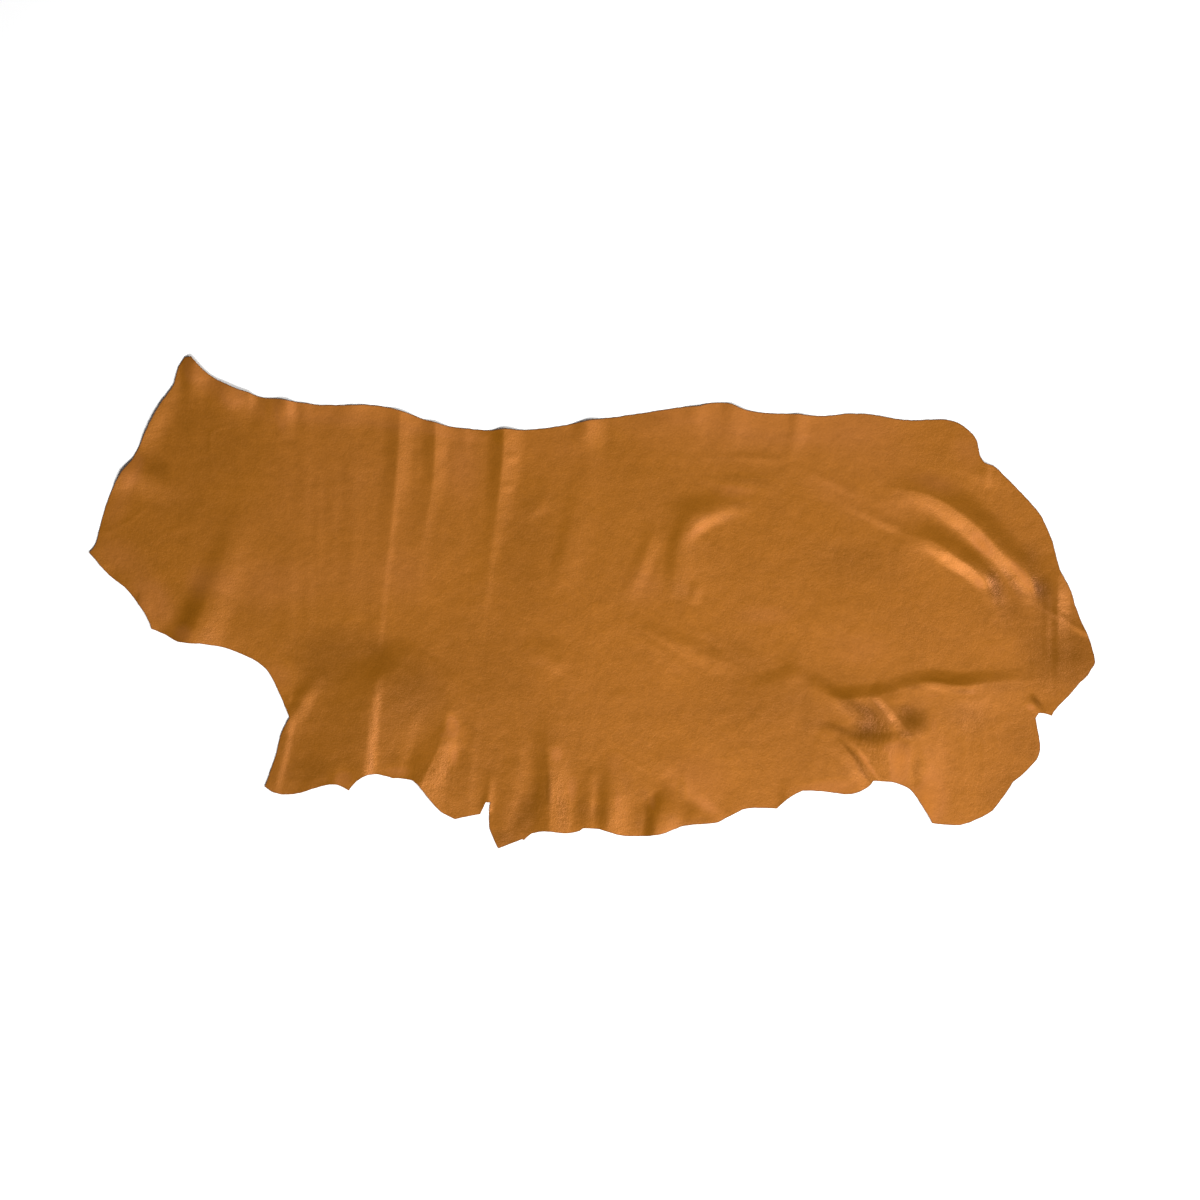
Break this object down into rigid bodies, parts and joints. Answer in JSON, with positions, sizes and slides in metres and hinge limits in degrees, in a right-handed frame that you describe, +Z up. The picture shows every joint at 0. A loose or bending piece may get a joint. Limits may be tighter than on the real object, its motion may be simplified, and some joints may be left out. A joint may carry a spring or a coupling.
{
  "type": "leather side hide",
  "caption": "Half cow hide of smooth tan leather, laid flat grain side up, with an uneven cut edge, shank and neck points and soft standing folds.",
  "frame": {"origin": "middle of the hide's bounding box in plan, on the surface that it lies on", "axes": "+X along the hide from the neck to the rump, +Y across it from the belly to the back, +Z up out of the grain side"},
  "size_m": [2.313, 1.132, 0.0143],
  "materials": {
    "hide": "smooth tan full-grain leather with a soft satin sheen, fine pebbled grain and a slightly darker cut edge; napped, paler flesh side underneath"
  },
  "bodies": {
    "root": {"hide": "hide"}
  },
  "joints": []
}
